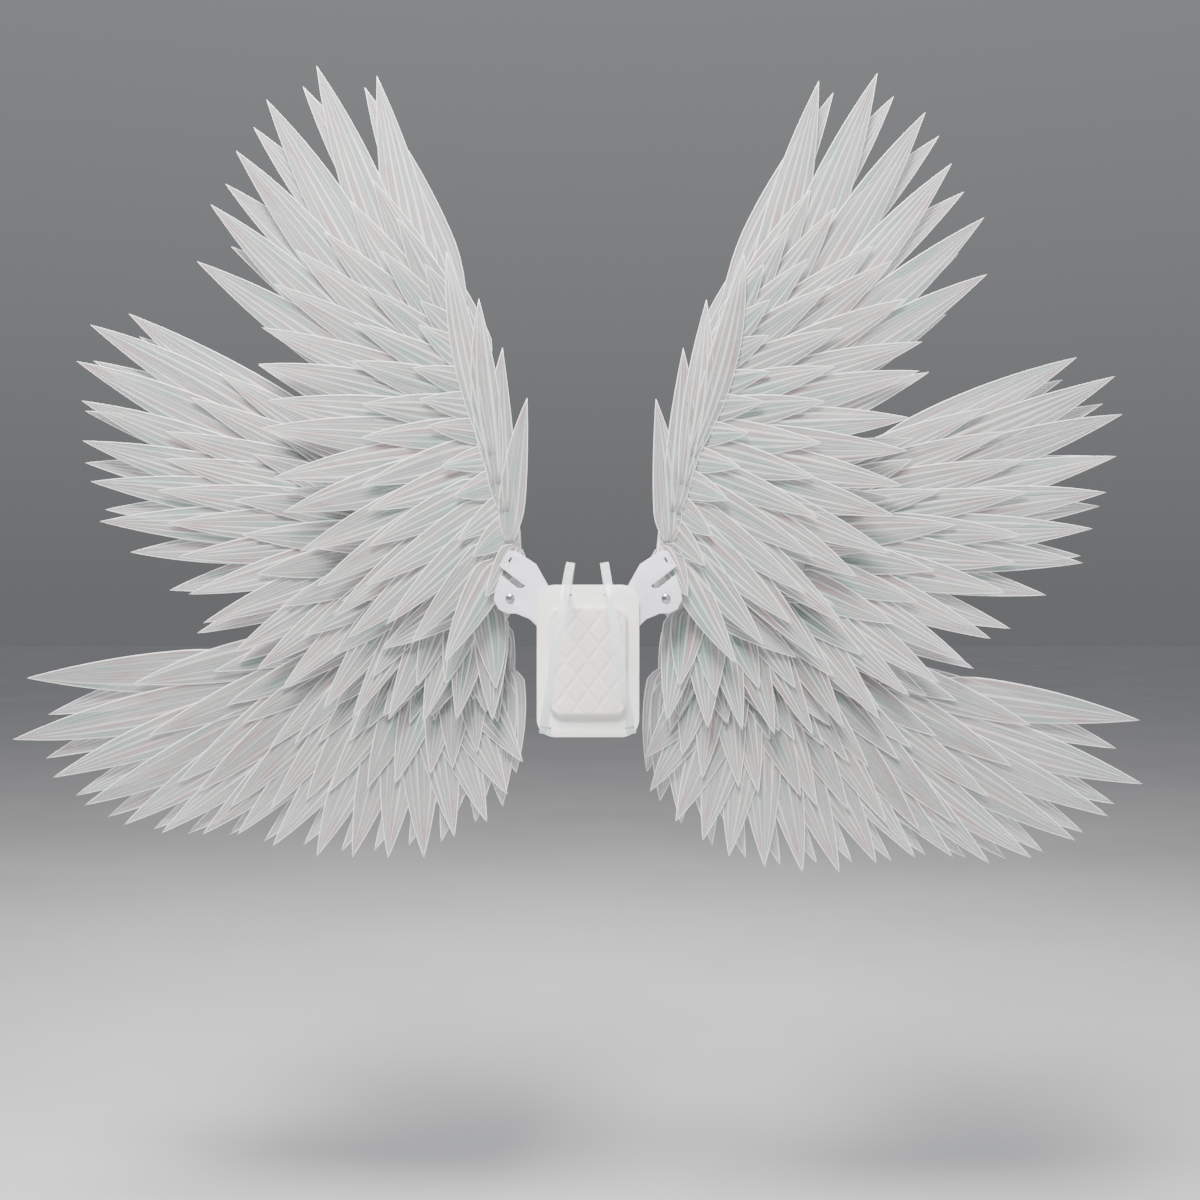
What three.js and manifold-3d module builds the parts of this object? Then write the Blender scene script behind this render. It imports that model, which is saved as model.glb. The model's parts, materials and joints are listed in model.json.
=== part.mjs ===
// Wearable fairy wings: a harness with two folding arms, and on each arm three fans of pleated
// feathers that turn about one hub bolt.
//
// Frame, in millimetres: +Z up, -Y towards the wearer, +X towards the wearer's left hand. The origin is
// the centre of the back pad's face, where it rests on the wearer's back.
//
// One wing is drawn with x running outwards. The right wing is the same drawing mirrored in x.

import * as THREE from "three";
import { mergeVertices } from "three/addons/utils/BufferGeometryUtils.js";
import Module from "manifold-3d";

const wasm = await Module();
wasm.setup();

// ---------------------------------------------------------------- driving dimensions

const SEAT = 0.3; // gap between pieces that rest on each other, and all round a loose shank
const CURVE_SEGMENTS = 20; // sides of a round piece

const PAD = { width: 150, height: 212, thickness: 12, corner: 26 };
const PLATE = { width: 196, height: 292, thickness: 5, corner: 34 };
const STRAP = {
  width: 16,
  thickness: 1.4,
  topX: 40, // where the strap goes through the plate, from the middle of the back
  bottomX: 80,
  slotZ: 128, // both slots, above and below the middle
  slotOpening: 4,
  slotSide: 1.5, // room at each end of the slot
  hemLength: 9,
  hemThickness: 3.2,
  reach: 192, // how far the loop comes forward round the shoulder
  rise: 62, // how far it rises above its upper slot
};
const KEEPER = { wall: 2, length: 12, room: 0.6, fromPlate: 62, travel: 30 };

const LEAF = { thickness: 1.6, innerX: 9, length: 120 };
const BARREL = { x: 38, radius: 4.2, pinRadius: 2, endRoom: 0.15, sideRoom: 0.8, knuckles: 5 };
const PIN_HEAD = { radius: 3.4, height: 1.6 };
const LEAF_SCREW = { x: 20, z: 36, radius: 2, headRadius: 4.2, headHeight: 2.2, shortOfFace: 0.8 };

const ARM = { thickness: 3, bevel: 0.6, behindPlate: 2.3 };
const HUB = { x: 150, z: 120, boltRadius: 4, headRadius: 9, headHeight: 4, boltEnd: 9 };
const SPACER_RADIUS = 9;
const NUT = { radius: 8, height: 8, span: 21, wingHeight: 13, wingThickness: 3.4 };
const LOCK = { x: 150, z: 194, tilt: 120, length: 10, width: 4, footLength: 24, footWidth: 15, foot: 3 };
const LANYARD_HOLE = { x: 161.5, z: 188.5, radius: 1.5 };

const BOARD_THICKNESS = 4;
const ROW_THICKNESS = 4.5; // a row of pleated feathers, one layer deep
const FAN_GAP = 10; // air between one fan's last row and the next fan's first
const HUB_ROOM = 13; // no feather is glued nearer the hub bolt than this
const NUT_ROOM = 25; // and none on the last row, where the wing nut turns
const LOCK_ROOM = 4; // between the lock tab and the feathers round it
const ROOT_WIDTH_SHARE = 0.3; // a feather's width at its root, of its greatest width
const WIDEST_AT = 0.55; // where along a feather it is widest

// Each fan hangs a little differently on the two arms: degrees up from the drawing.
const HANG = {
  left: { upper: -1, middle: -3.2, lower: -2.5 },
  right: { upper: 1, middle: 3.2, lower: 2.5 },
};

// ---------------------------------------------------------------- the fans, from the hub bolt
// x runs outwards and z up.

// A row is sewn along its roots and ends in a point per feather. Both lines run clockwise, seen from the
// wearer's side of a left wing. Rows are listed from the front to the back, with the board that carries them.
const FANS = {
  upper: {
    board: [[-24, 0], [-21, 60], [-16, 130], [0, 240], [30, 330], [75, 430], [125, 525], [180, 600],
      [235, 600], [275, 530], [280, 430], [255, 320], [205, 215], [130, 110], [70, 40], [24, 2],
      [17, -17], [0, -24], [-17, -17]],
    layers: {
      edge_feathers: {
        roots: [[4, 112], [6, 140], [24, 200], [45, 275]],
        tips: [[-27, 385], [18, 469], [68, 568], [133, 664]],
        count: 4, width: 54,
      },
      short_coverts: {
        roots: [[108, 525], [60, 420], [30, 320], [6, 220], [-8, 130], [-12, 100]],
        tips: [[175, 640], [196, 475], [178, 370], [142, 264], [112, 180], [80, 75], [50, 5]],
        count: 11, width: 58,
      },
      long_coverts: {
        roots: [[125, 530], [100, 420], [75, 320], [50, 220], [34, 120], [24, 70]],
        tips: [[222, 720], [302, 590], [312, 470], [300, 350], [285, 225], [278, 90], [256, -34],
          [193, -91], [125, -125]],
        count: 14, width: 68,
      },
      secondaries: {
        roots: [[150, 560], [170, 500], [165, 410], [150, 310], [120, 200], [85, 120]],
        tips: [[268, 805], [347, 735], [430, 650], [482, 540], [482, 425], [474, 310], [440, 170],
          [372, 10], [300, -95]],
        count: 15, width: 80,
      },
      primaries: {
        roots: [[162, 500], [186, 470], [190, 430], [184, 390], [172, 350]],
        tips: [[278, 1008], [392, 1022], [497, 942], [560, 828], [603, 744], [612, 640]],
        count: 6, width: 84,
      },
      board: true,
      rear_feathers: {
        roots: [[62, 455], [36, 350], [12, 250], [-4, 160], [-6, 60]],
        tips: [[306, 988], [440, 985], [522, 906], [574, 770], [558, 640], [500, 440], [480, 320],
          [435, 180], [350, 20], [260, -110]],
        count: 12, width: 82,
      },
    },
  },
  middle: {
    board: [[-24, 0], [-15, 19], [70, 64], [190, 150], [285, 234], [345, 276], [400, 270], [430, 225],
      [430, 170], [390, 90], [290, 20], [170, -12], [50, -22], [0, -24], [-17, -17]],
    layers: {
      short_coverts: {
        roots: [[250, 200], [280, 150], [280, 95], [245, 50], [190, 20], [120, 0], [50, -14]],
        tips: [[470, 300], [540, 220], [545, 140], [505, 35], [430, -70], [330, -140], [230, -172],
          [120, -180], [30, -168]],
        count: 12, width: 70,
      },
      coverts: {
        roots: [[300, 250], [355, 200], [370, 130], [330, 60], [279, 30], [190, 10], [105, -4],
          [40, -20]],
        tips: [[600, 410], [672, 345], [700, 250], [690, 140], [655, 28], [590, -90], [462, -191],
          [330, -240], [190, -250], [96, -250], [20, -235]],
        count: 18, width: 74,
      },
      primaries: {
        roots: [[345, 262], [376, 218], [376, 182], [345, 155], [300, 118]],
        tips: [[783, 515], [867, 475], [877, 378], [858, 277], [849, 204], [823, 170], [815, 110]],
        count: 7, width: 86,
      },
      board: true,
      rear_feathers: {
        roots: [[246, 202], [196, 152], [140, 98], [92, 42], [46, -12]],
        tips: [[758, 470], [838, 436], [866, 340], [856, 240], [830, 180], [790, 90], [700, 0],
          [600, -110], [450, -200], [300, -240], [150, -245], [40, -230]],
        count: 14, width: 84,
      },
    },
  },
  lower: {
    board: [[-24, 0], [-17, 17], [0, 24], [60, 2], [200, -60], [400, -115], [480, -138], [510, -168],
      [500, -208], [420, -240], [300, -252], [190, -246], [110, -200], [50, -110], [0, -24],
      [-17, -17]],
    layers: {
      coverts: {
        roots: [[440, -125], [410, -165], [330, -178], [250, -168], [175, -150], [110, -115],
          [66, -62]],
        tips: [[735, -215], [712, -290], [655, -375], [575, -428], [450, -425], [315, -385],
          [225, -372], [150, -360], [80, -330], [15, -262]],
        count: 14, width: 76, gather: 0.85,
      },
      primaries: {
        roots: [[502, -160], [468, -205], [398, -228], [310, -236], [235, -236], [170, -200],
          [110, -130]],
        tips: [[944, -205], [970, -305], [915, -385], [813, -445], [700, -500], [560, -485],
          [430, -515], [310, -530], [190, -512], [80, -470], [0, -400], [-24, -320]],
        count: 17, width: 84, gather: 0.85,
      },
      board: true,
      rear_feathers: {
        roots: [[62, -24], [76, -42], [80, -56], [68, -64], [48, -60], [32, -50]],
        tips: [[915, -262], [925, -345], [860, -425], [750, -485], [600, -492], [480, -505],
          [350, -515], [230, -515], [110, -485], [20, -425], [-20, -345]],
        count: 16, width: 84, gather: 0.88,
      },
    },
  },
};

// The arm, from the origin, x outwards and z up: a strip along the hinge, a long prong that ends in the
// lock slot, and below it a short prong round the hub bolt.
const ARM_STRIP = { innerX: 43.2, bottomZ: -60 };
const ARM_OUTLINE = [
  [70, -60], [72, 0], [84, 52], [112, 80], [138, 91], [156, 91], [172, 99], [181, 117], [179, 136],
  [168, 165.5], [136, 140], [127, 139], [121, 144], [171, 182.5], [153, 212], [137, 210], [100, 186],
  [85, 159], [62, 118],
];
const ARM_SHOULDER_Z = 86; // where the arm leaves the hinge's line

// ---------------------------------------------------------------- places in depth, y

const plateFront = PAD.thickness + SEAT;
const plateBack = plateFront + PLATE.thickness;
const leafFront = plateBack + SEAT;
const leafBack = leafFront + LEAF.thickness;
const barrelY = leafFront + BARREL.radius;
const armFront = plateBack + ARM.behindPlate;
const armBack = armFront + ARM.thickness;

// The front and back of every layer of every fan, stacked behind the arm.
const depth = {};
let nextFront = armBack + SEAT;
for (const [fan, { layers }] of Object.entries(FANS)) {
  depth[fan] = {};
  for (const [layer, row] of Object.entries(layers)) {
    const thickness = row === true ? BOARD_THICKNESS : ROW_THICKNESS;
    depth[fan][layer] = { front: nextFront, back: nextFront + thickness };
    nextFront += thickness + SEAT;
  }
  nextFront += FAN_GAP - SEAT;
}
const lastBoardBack = depth.lower.board.back;

// ---------------------------------------------------------------- materials

const finish = (color, roughness, metalness = 0) => (
  new THREE.MeshStandardMaterial({ color, roughness, metalness })
);
const MATERIALS = {
  feather: finish(0xeceae8, 0.6),
  board: finish(0xf2f1ee, 0.55),
  paintedPlate: finish(0xe9e6ea, 0.4, 0.1),
  steel: finish(0xb9babd, 0.3, 1),
  nylon: finish(0xf0eee8, 0.5),
  lock: finish(0x4b4a4d, 0.5),
  strap: finish(0xe6ecee, 0.15),
  foam: finish(0xf1efec, 0.85),
};

// ---------------------------------------------------------------- solids

// A closed geometry as a manifold-3d solid, with the vertices that its faces share merged and the
// flattened faces on an axis left out.
function solidOf(geometry) {
  const bare = geometry.clone();
  bare.deleteAttribute("normal");
  bare.deleteAttribute("uv");
  const merged = mergeVertices(bare, 1e-4);
  const corners = [];
  for (let i = 0; i < merged.index.count; i += 3) {
    const [a, b, c] = merged.index.array.slice(i, i + 3);
    if (a !== b && b !== c && c !== a) corners.push(a, b, c);
  }
  return new wasm.Manifold(new wasm.Mesh({
    numProp: 3,
    vertProperties: merged.attributes.position.array,
    triVerts: new Uint32Array(corners),
  }));
}

function geometryOf(solid) {
  const { vertProperties, triVerts, numProp } = solid.getMesh();
  const geometry = new THREE.BufferGeometry();
  const count = vertProperties.length / numProp;
  const places = new Float32Array(count * 3);
  for (let i = 0; i < count; i++) places.set(vertProperties.subarray(i * numProp, i * numProp + 3), i * 3);
  geometry.setAttribute("position", new THREE.BufferAttribute(places, 3));
  geometry.setIndex(new THREE.BufferAttribute(triVerts, 1));
  geometry.computeVertexNormals();
  return geometry;
}

const joined = (first, ...others) => (
  geometryOf(others.reduce((sum, g) => sum.add(solidOf(g)), solidOf(first)))
);
const cut = (geometry, ...tools) => (
  geometryOf(tools.reduce((rest, g) => rest.subtract(solidOf(g)), solidOf(geometry)))
);

// A named mesh with its own material.
function piece(name, geometry, material) {
  const mesh = new THREE.Mesh(geometry, material.clone());
  mesh.name = name;
  return mesh;
}

// A flat sheet drawn in x and z: its drawing's y becomes z, and it lies between the depths front and back.
function sheet(name, geometry, material, front, back) {
  const mesh = piece(name, geometry, material);
  mesh.rotation.x = Math.PI / 2;
  mesh.position.y = back;
  return mesh;
}

const extruded = (shape, thickness) => new THREE.ExtrudeGeometry(shape, {
  depth: thickness, bevelEnabled: false, curveSegments: CURVE_SEGMENTS / 4,
});

function roundedRectangle(width, height, corner) {
  const [x, y] = [width / 2, height / 2];
  const shape = new THREE.Shape();
  shape.moveTo(-x + corner, -y);
  shape.lineTo(x - corner, -y);
  shape.absarc(x - corner, -y + corner, corner, -Math.PI / 2, 0);
  shape.lineTo(x, y - corner);
  shape.absarc(x - corner, y - corner, corner, 0, Math.PI / 2);
  shape.lineTo(-x + corner, y);
  shape.absarc(-x + corner, y - corner, corner, Math.PI / 2, Math.PI);
  shape.lineTo(-x, -y + corner);
  shape.absarc(-x + corner, -y + corner, corner, Math.PI, 1.5 * Math.PI);
  return shape;
}

function roundHole(x, y, radius) {
  return new THREE.Path(Array.from({ length: CURVE_SEGMENTS }, (_, i) => {
    const turn = (2 * Math.PI * i) / CURVE_SEGMENTS;
    return new THREE.Vector2(x + radius * Math.cos(turn), y + radius * Math.sin(turn));
  }));
}

// A slot of that length and opening, its length turned by an angle from x.
function slotHole(x, y, length, opening, angle) {
  const along = new THREE.Vector2(Math.cos(angle), Math.sin(angle)).multiplyScalar(length / 2);
  const across = new THREE.Vector2(-Math.sin(angle), Math.cos(angle)).multiplyScalar(opening / 2);
  const corner = (a, b) => [x + a * along.x + b * across.x, y + a * along.y + b * across.y];
  const path = new THREE.Path();
  path.moveTo(...corner(-1, -1));
  path.lineTo(...corner(-1, 1));
  path.lineTo(...corner(1, 1));
  path.lineTo(...corner(1, -1));
  path.closePath();
  return path;
}

// A round piece on the y axis from its profile of [radius, y] points, which closes on itself.
const turned = (profile) => geometryOf(solidOf(new THREE.LatheGeometry(
  profile.map(([radius, y]) => new THREE.Vector2(radius, y)), CURVE_SEGMENTS,
)));
const tube = (inner, outer, from, to) => (
  turned([[inner, from], [outer, from], [outer, to], [inner, to], [inner, from]])
);
const rod = (radius, from, to) => turned([[0, from], [radius, from], [radius, to], [0, to]]);

// ---------------------------------------------------------------- feathers

const vectors = (points) => points.map(([x, z]) => new THREE.Vector2(x, z));

// The roots and tips of a row's feathers, spread along its two lines. With a gather below 1 they stand
// closer towards the row's end.
function feathersOf({ roots, tips, count, gather = 1 }) {
  const rootLine = new THREE.SplineCurve(vectors(roots));
  const tipLine = new THREE.SplineCurve(vectors(tips));
  return Array.from({ length: count }, (_, i) => {
    const share = (i / (count - 1)) ** gather;
    return { root: rootLine.getPointAt(share), tip: tipLine.getPointAt(share) };
  });
}

// The outer edge of an end feather: half its width to one side, at its root and where it is widest.
function sideOf({ root, tip }, width, side) {
  const along = tip.clone().sub(root);
  const across = new THREE.Vector2(-along.y, along.x).normalize().multiplyScalar(side * width / 2);
  return [
    root.clone().addScaledVector(across, ROOT_WIDTH_SHARE),
    root.clone().addScaledVector(along, WIDEST_AT).add(across),
  ];
}

// Where two neighbouring feathers part: nearer their tips the closer they stand.
function notchBetween(a, b, width) {
  const apart = Math.min(1, a.tip.distanceTo(b.tip) / width);
  const share = 1 - (1 - WIDEST_AT) * apart;
  const at = ({ root, tip }) => root.clone().lerp(tip, share);
  return at(a).lerp(at(b), 0.5);
}

// The outline of a row: along the roots, and back from tip to tip with a notch between each pair.
function rowShape(row) {
  const feathers = feathersOf(row);
  const last = feathers[feathers.length - 1];
  const [topRoot, topSide] = sideOf(feathers[0], row.width, 1);
  const [bottomRoot, bottomSide] = sideOf(last, row.width, -1);
  const edge = [topSide];
  feathers.forEach((feather, i) => {
    edge.push(feather.tip);
    if (feather !== last) edge.push(notchBetween(feather, feathers[i + 1], row.width));
  });
  const rootLine = new THREE.SplineCurve(vectors(row.roots)).getSpacedPoints(row.roots.length + 1);
  return new THREE.Shape([topRoot, ...edge, bottomSide, bottomRoot, ...rootLine.reverse().slice(1, -1)]);
}

// Room for the hub bolt and the lock tab, as cutters in a row's own drawing.
const hubCutter = (radius) => new THREE.CylinderGeometry(radius, radius, 6 * ROW_THICKNESS, CURVE_SEGMENTS)
  .rotateX(Math.PI / 2);
function lockCutter() {
  const [length, width] = [LOCK.footLength + 2 * LOCK_ROOM, LOCK.footWidth + 2 * LOCK_ROOM];
  return new THREE.BoxGeometry(length, width, 6 * ROW_THICKNESS)
    .rotateZ(THREE.MathUtils.degToRad(LOCK.tilt))
    .translate(LOCK.x - HUB.x, LOCK.z - HUB.z, 0);
}

function featherRow(name, row, { front, back }, hubRoom, besideLock) {
  const cutters = [hubCutter(hubRoom), ...(besideLock ? [lockCutter()] : [])];
  return sheet(name, cut(extruded(rowShape(row), ROW_THICKNESS), ...cutters), MATERIALS.feather, front, back);
}

function fanBoard(name, outline, { front, back }) {
  const shape = new THREE.Shape(vectors(outline));
  shape.holes.push(roundHole(0, 0, HUB.boltRadius + SEAT));
  return sheet(name, extruded(shape, BOARD_THICKNESS), MATERIALS.board, front, back);
}

// A fan hangs on the hub bolt, turned up by its own angle.
function fan(side, which) {
  const group = new THREE.Group();
  const { board, layers } = FANS[which];
  for (const [layer, row] of Object.entries(layers)) {
    const name = `${side}_${which}_${layer}`;
    const place = depth[which][layer];
    const lastRow = which === "lower" && layer === "rear_feathers";
    const hubRoom = lastRow ? NUT_ROOM : HUB_ROOM;
    const roundLock = which === "upper" && place.back < depth.upper.board.front;
    group.add(row === true
      ? fanBoard(name, board, place)
      : featherRow(name, row, place, hubRoom, roundLock));
  }
  group.position.set(HUB.x, 0, HUB.z);
  group.rotation.y = -THREE.MathUtils.degToRad(HANG[side][which]);
  return group;
}

// ---------------------------------------------------------------- hub hardware

function hubBolt(side) {
  const { headRadius: r, headHeight: h, boltRadius } = HUB;
  const headBack = armFront - SEAT;
  const end = lastBoardBack + SEAT + NUT.height + HUB.boltEnd;
  const profile = [
    [0, headBack - h], [r * 0.5, headBack - h * 0.87], [r * 0.87, headBack - h * 0.5], [r, headBack],
    [boltRadius, headBack], [boltRadius, end - 1], [boltRadius - 1, end], [0, end],
  ];
  return piece(`${side}_hub_bolt`, turned(profile), MATERIALS.steel);
}

function hubSpacers(side) {
  const bore = HUB.boltRadius + SEAT;
  const between = {
    front: [armBack, depth.upper.board.front],
    middle: [depth.upper.board.back, depth.middle.board.front],
    rear: [depth.middle.board.back, depth.lower.board.front],
  };
  return Object.entries(between).map(([place, [from, to]]) => piece(
    `${side}_hub_spacer_${place}`, tube(bore, SPACER_RADIUS, from + SEAT, to - SEAT), MATERIALS.nylon,
  ));
}

// The wing nut: a collar with two upright ears, drawn along y and standing on the last board.
function wingNut(side) {
  const { radius, height, span, wingHeight, wingThickness } = NUT;
  const ear = new THREE.Shape();
  ear.moveTo(radius * 0.5, 1);
  ear.lineTo(span - 6, 3);
  ear.quadraticCurveTo(span + 2, wingHeight * 0.6, span - 3, wingHeight);
  ear.quadraticCurveTo(span - 9, wingHeight + 1, radius * 0.6, height);
  const ears = [0, Math.PI].map((turn) => extruded(ear, wingThickness)
    .translate(0, 0, -wingThickness / 2).rotateY(turn));
  const collar = rod(radius, 0, height);
  const bore = rod(HUB.boltRadius + SEAT, -height, 3 * height);
  const mesh = piece(`${side}_wing_nut`, cut(joined(collar, ...ears), bore), MATERIALS.steel);
  mesh.position.y = lastBoardBack + SEAT;
  return mesh;
}

// The lock tab stands on the upper board and keys the fan to the arm through the arm's slot.
function lockTab(side) {
  const footBack = depth.upper.board.front - SEAT;
  const stemFront = armFront - SEAT;
  const stem = [LOCK.length - 2 * SEAT, LOCK.width - 2 * SEAT];
  const foot = new THREE.BoxGeometry(LOCK.footLength, LOCK.footWidth, LOCK.foot)
    .translate(0, 0, LOCK.foot / 2);
  const rise = footBack - stemFront;
  const upright = new THREE.BoxGeometry(stem[0], stem[1], rise).translate(0, 0, rise / 2);
  const geometry = joined(foot, upright).rotateZ(THREE.MathUtils.degToRad(LOCK.tilt));
  const mesh = sheet(`${side}_lock_tab`, geometry, MATERIALS.lock, stemFront, footBack);
  mesh.position.x = LOCK.x;
  mesh.position.z = LOCK.z;
  return mesh;
}

// ---------------------------------------------------------------- hinge and arm

// The heights of a hinge's knuckles, from the bottom. Even ones belong to the leaf, odd ones to the arm.
function knuckleSpans() {
  const pitch = LEAF.length / BARREL.knuckles;
  return Array.from({ length: BARREL.knuckles }, (_, i) => [
    -LEAF.length / 2 + i * pitch + BARREL.endRoom,
    -LEAF.length / 2 + (i + 1) * pitch - BARREL.endRoom,
  ]);
}

// A tube round the hinge line over each of these spans, standing along z.
const knuckles = (spans) => spans.map(([from, to]) => tube(BARREL.pinRadius + SEAT, BARREL.radius, from, to)
  .rotateX(Math.PI / 2).translate(BARREL.x, barrelY, 0));
const pinBore = () => rod(BARREL.pinRadius + SEAT, -LEAF.length, LEAF.length)
  .rotateX(Math.PI / 2).translate(BARREL.x, barrelY, 0);

// A slab in x and z between two depths, as geometry already in its place.
const placed = (geometry, back) => geometry.rotateX(Math.PI / 2).translate(0, back, 0);
const rectangle = (x0, x1, z0, z1) => new THREE.Shape(vectors([[x0, z0], [x1, z0], [x1, z1], [x0, z1]]));

function hingeLeaf(side) {
  const spans = knuckleSpans().filter((_, i) => i % 2 === 0);
  const edgeX = BARREL.x - BARREL.radius - BARREL.sideRoom;
  const sheetShape = rectangle(LEAF.innerX, edgeX, -LEAF.length / 2, LEAF.length / 2);
  for (const z of [-LEAF_SCREW.z, LEAF_SCREW.z]) {
    sheetShape.holes.push(roundHole(LEAF_SCREW.x, z, LEAF_SCREW.radius + SEAT));
  }
  const tabs = spans.map(([from, to]) => placed(
    extruded(rectangle(edgeX - 1, BARREL.x, from, to), LEAF.thickness), leafBack,
  ));
  const plate = placed(extruded(sheetShape, LEAF.thickness), leafBack);
  const pieces = [...tabs, ...knuckles(spans)];
  const geometry = geometryOf(pieces.reduce((sum, g) => sum.add(solidOf(g)), solidOf(plate))
    .subtract(solidOf(pinBore())));
  return piece(`${side}_hinge_leaf`, geometry, MATERIALS.steel);
}

function hingePin(side) {
  const half = LEAF.length / 2;
  const profile = [
    [0, -half - PIN_HEAD.height], [PIN_HEAD.radius, -half - PIN_HEAD.height],
    [PIN_HEAD.radius, -half - SEAT],
    [BARREL.pinRadius, -half - SEAT], [BARREL.pinRadius, half + 1], [0, half + 1],
  ];
  // The profile runs along y. Turned to stand along z with its head on top.
  const geometry = turned(profile).rotateX(-Math.PI / 2).translate(BARREL.x, barrelY, 0);
  return piece(`${side}_hinge_pin`, geometry, MATERIALS.steel);
}

function leafScrews(side) {
  const { x, z, radius, headRadius, headHeight, shortOfFace } = LEAF_SCREW;
  const headFront = leafBack + SEAT;
  const profile = [
    [0, plateFront + shortOfFace], [radius, plateFront + shortOfFace],
    [radius, headFront], [headRadius, headFront],
    [headRadius * 0.8, headFront + headHeight * 0.7], [0, headFront + headHeight],
  ];
  return [["upper", z], ["lower", -z]].map(([place, at]) => {
    const mesh = piece(`${side}_hinge_screw_${place}`, turned(profile), MATERIALS.steel);
    mesh.position.set(x, 0, at);
    return mesh;
  });
}

function arm(side) {
  const { innerX, bottomZ } = ARM_STRIP;
  const shape = new THREE.Shape(vectors([[innerX, bottomZ], ...ARM_OUTLINE, [innerX, ARM_SHOULDER_Z]]));
  shape.holes.push(roundHole(HUB.x, HUB.z, HUB.boltRadius + SEAT));
  shape.holes.push(slotHole(LOCK.x, LOCK.z, LOCK.length, LOCK.width, THREE.MathUtils.degToRad(LOCK.tilt)));
  shape.holes.push(roundHole(LANYARD_HOLE.x, LANYARD_HOLE.z, LANYARD_HOLE.radius));
  const spans = knuckleSpans().filter((_, i) => i % 2 === 1);
  const tabs = spans.map(([from, to]) => placed(
    extruded(rectangle(BARREL.x, innerX + 2 * ARM.bevel + 1, from, to), ARM.thickness), armBack,
  ));
  const plate = placed(new THREE.ExtrudeGeometry(shape, {
    depth: ARM.thickness - 2 * ARM.bevel, bevelThickness: ARM.bevel, bevelSize: ARM.bevel,
    bevelOffset: -ARM.bevel, bevelSegments: 1, curveSegments: CURVE_SEGMENTS / 4,
  }), armBack - ARM.bevel);
  const pieces = [...tabs, ...knuckles(spans)];
  const geometry = geometryOf(pieces.reduce((sum, g) => sum.add(solidOf(g)), solidOf(plate))
    .subtract(solidOf(pinBore())));
  return piece(`${side}_arm`, geometry, MATERIALS.paintedPlate);
}

// ---------------------------------------------------------------- harness

// The straps lean out from the upper slots to the lower ones.
const strapMiddleX = (STRAP.topX + STRAP.bottomX) / 2;
const strapLean = Math.atan2(STRAP.bottomX - STRAP.topX, 2 * STRAP.slotZ);
const strapSlotReach = STRAP.slotZ / Math.cos(strapLean); // from the strap's middle to a slot, along its lean

function backPlate() {
  const shape = roundedRectangle(PLATE.width, PLATE.height, PLATE.corner);
  for (const sign of [-1, 1]) {
    for (const [x, z] of [[STRAP.topX, STRAP.slotZ], [STRAP.bottomX, -STRAP.slotZ]]) {
      const length = STRAP.width + 2 * STRAP.slotSide;
      shape.holes.push(slotHole(sign * x, z, length, STRAP.slotOpening, sign * strapLean));
    }
    for (const z of [-LEAF_SCREW.z, LEAF_SCREW.z]) {
      shape.holes.push(roundHole(sign * LEAF_SCREW.x, z, LEAF_SCREW.radius + SEAT));
    }
  }
  return sheet("back_plate", extruded(shape, PLATE.thickness), MATERIALS.board, plateFront, plateBack);
}

function backPad() {
  const shape = roundedRectangle(PAD.width, PAD.height, PAD.corner);
  return sheet("back_pad", extruded(shape, PAD.thickness), MATERIALS.foam, 0, PAD.thickness);
}

// The strap's line, seen from its side as [y, z]: out of the upper slot, up and forward round the shoulder,
// and back to the lower slot along a straight run.
function strapLine() {
  const z = strapSlotReach;
  const loop = new THREE.SplineCurve([
    [2, z], [-26, z + 16], [-72, z + STRAP.rise - 8], [-112, z + STRAP.rise - 8], [-158, z + 18],
    [-STRAP.reach + 4, z - 58], [-STRAP.reach, 0], [-STRAP.reach + 8, -z + 62], [-160, -z + 20],
    [-128, -z + 3], [-104, -z],
  ].map(([y, height]) => new THREE.Vector2(y, height)));
  const run = (y) => new THREE.Vector2(y, -z);
  return [new THREE.Vector2(plateBack + 1, z), ...loop.getPoints(34), run(-40), run(plateBack + 1)];
}

// The outline of a band of that thickness about a line of points.
function bandShape(line, thickness) {
  const normals = line.map((_, i) => {
    const along = line[Math.min(i + 1, line.length - 1)].clone().sub(line[Math.max(i - 1, 0)]).normalize();
    return new THREE.Vector2(-along.y, along.x).multiplyScalar(thickness / 2);
  });
  const outer = line.map((point, i) => point.clone().add(normals[i]));
  const inner = line.map((point, i) => point.clone().sub(normals[i]));
  return new THREE.Shape([...outer, ...inner.reverse()]);
}

// Drawn as [y, z] and swept across its width: the drawing's x becomes y and its y becomes z.
const acrossStrap = (geometry, width) => geometry.translate(0, 0, -width / 2)
  .applyMatrix4(new THREE.Matrix4().makeBasis(
    new THREE.Vector3(0, 1, 0), new THREE.Vector3(0, 0, 1), new THREE.Vector3(1, 0, 0),
  ));

// A strap with a thick hem behind each slot, so that it can't pull through.
function strap(side) {
  const hemFront = plateBack + SEAT;
  const hemBack = hemFront + STRAP.hemThickness;
  const hem = (z, inwards) => extruded(new THREE.Shape(vectors([
    [hemFront, z - STRAP.thickness / 2], [hemBack, z - STRAP.thickness / 2],
    [hemBack, z + inwards * STRAP.hemLength], [hemFront, z + inwards * STRAP.hemLength],
  ].map((point, i, all) => (inwards > 0 ? point : all[all.length - 1 - i])))), STRAP.width);
  const band = extruded(bandShape(strapLine(), STRAP.thickness), STRAP.width);
  const geometry = joined(band, hem(strapSlotReach, 1), hem(-strapSlotReach, -1));
  return piece(`${side}_strap`, acrossStrap(geometry, STRAP.width), MATERIALS.strap);
}

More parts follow.
